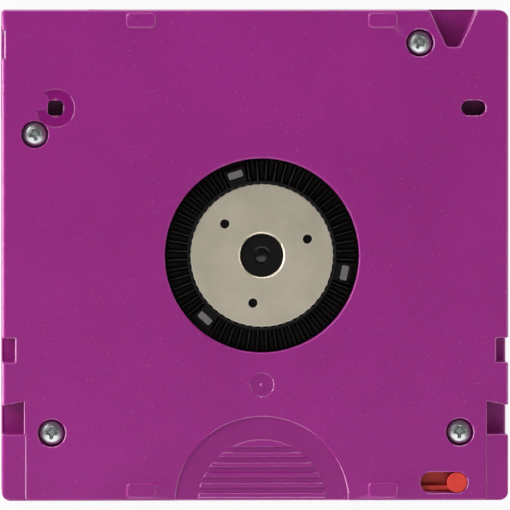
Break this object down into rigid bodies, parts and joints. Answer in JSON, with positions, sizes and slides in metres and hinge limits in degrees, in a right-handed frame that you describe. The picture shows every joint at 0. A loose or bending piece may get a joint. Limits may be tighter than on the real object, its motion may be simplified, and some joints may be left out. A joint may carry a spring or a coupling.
{
  "type": "data tape cartridge",
  "caption": "Flat square tape cartridge with one reel behind a toothed clutch, a sprung leader door, a write-protect slider and handling notches.",
  "frame": {"origin": "middle of the plan outline, on the outer face of the top cover, which the cartridge lies on", "axes": "+Z out of the hub-side face, +Y to the front edge that enters the drive first, +X away from the door side"},
  "size_m": [0.1054, 0.1021, 0.0215],
  "materials": {
    "case_plastic": "fine spark-eroded texture",
    "door_plastic": "fine texture",
    "spring_steel": "bright drawn wire",
    "pin_steel": "ground",
    "black_plastic": "smooth",
    "tape": "smooth, glossy dark brown",
    "slider_plastic": "smooth orange-red",
    "board": "green solder mask",
    "chip_resin": "black resin",
    "reel_plastic": "glass-filled black, slight gloss",
    "plate_steel": "dull passivated",
    "release_plastic": "smooth light grey",
    "brake_plastic": "smooth off-white",
    "screw_zinc": "bright zinc plating"
  },
  "bodies": {
    "case": {"bottom_shell": "case_plastic", "top_shell": "case_plastic", "screw_door_front": "screw_zinc", "screw_plain_front": "screw_zinc", "screw_door_rear": "screw_zinc", "screw_plain_rear": "screw_zinc", "door_spring": "spring_steel", "leader_pin": "pin_steel", "leader_clamp": "black_plastic", "tape_leader": "tape", "pin_keeper_hub_side": "spring_steel", "pin_keeper_top_side": "spring_steel", "memory_board": "board", "memory_chip": "chip_resin", "brake_spring": "spring_steel"},
    "door": {"access_door": "door_plastic"},
    "write_slider": {"write_protect_slider": "slider_plastic"},
    "reel": {"reel_hub": "reel_plastic", "reel_flange": "reel_plastic", "tape_pack": "tape", "clutch_plate": "plate_steel"},
    "release": {"release_plate": "release_plastic"},
    "brake": {"brake_button": "brake_plastic"}
  },
  "joints": [
    {"name": "door_slide", "type": "slide", "parent": "case", "child": "door", "axis": [0, -1, 0], "range_m": [0, 0.0165], "stiffness_N_per_m": 25, "springref_m": -0.02, "deforming": ["door_spring"]},
    {"name": "write_protect_slide", "type": "slide", "parent": "case", "child": "write_slider", "axis": [-1, 0, 0], "range_m": [0, 0.0055]},
    {"name": "reel_spin", "type": "hinge", "parent": "case", "child": "reel", "pos_m": [0.0014, 0, 0.01125], "axis": [0, 0, 1], "continuous": true},
    {"name": "release_press", "type": "slide", "parent": "reel", "child": "release", "axis": [0, 0, -1], "range_m": [0, 0.0015]},
    {"name": "brake_lift", "type": "slide", "parent": "case", "child": "brake", "axis": [0, 0, -1], "range_m": [0, 0.0015], "stiffness_N_per_m": 300, "springref_m": -0.008, "deforming": ["brake_spring"]}
  ],
  "couplings": [
    {"joint": "brake_lift", "follows": "release_press", "ratio": 1}
  ]
}
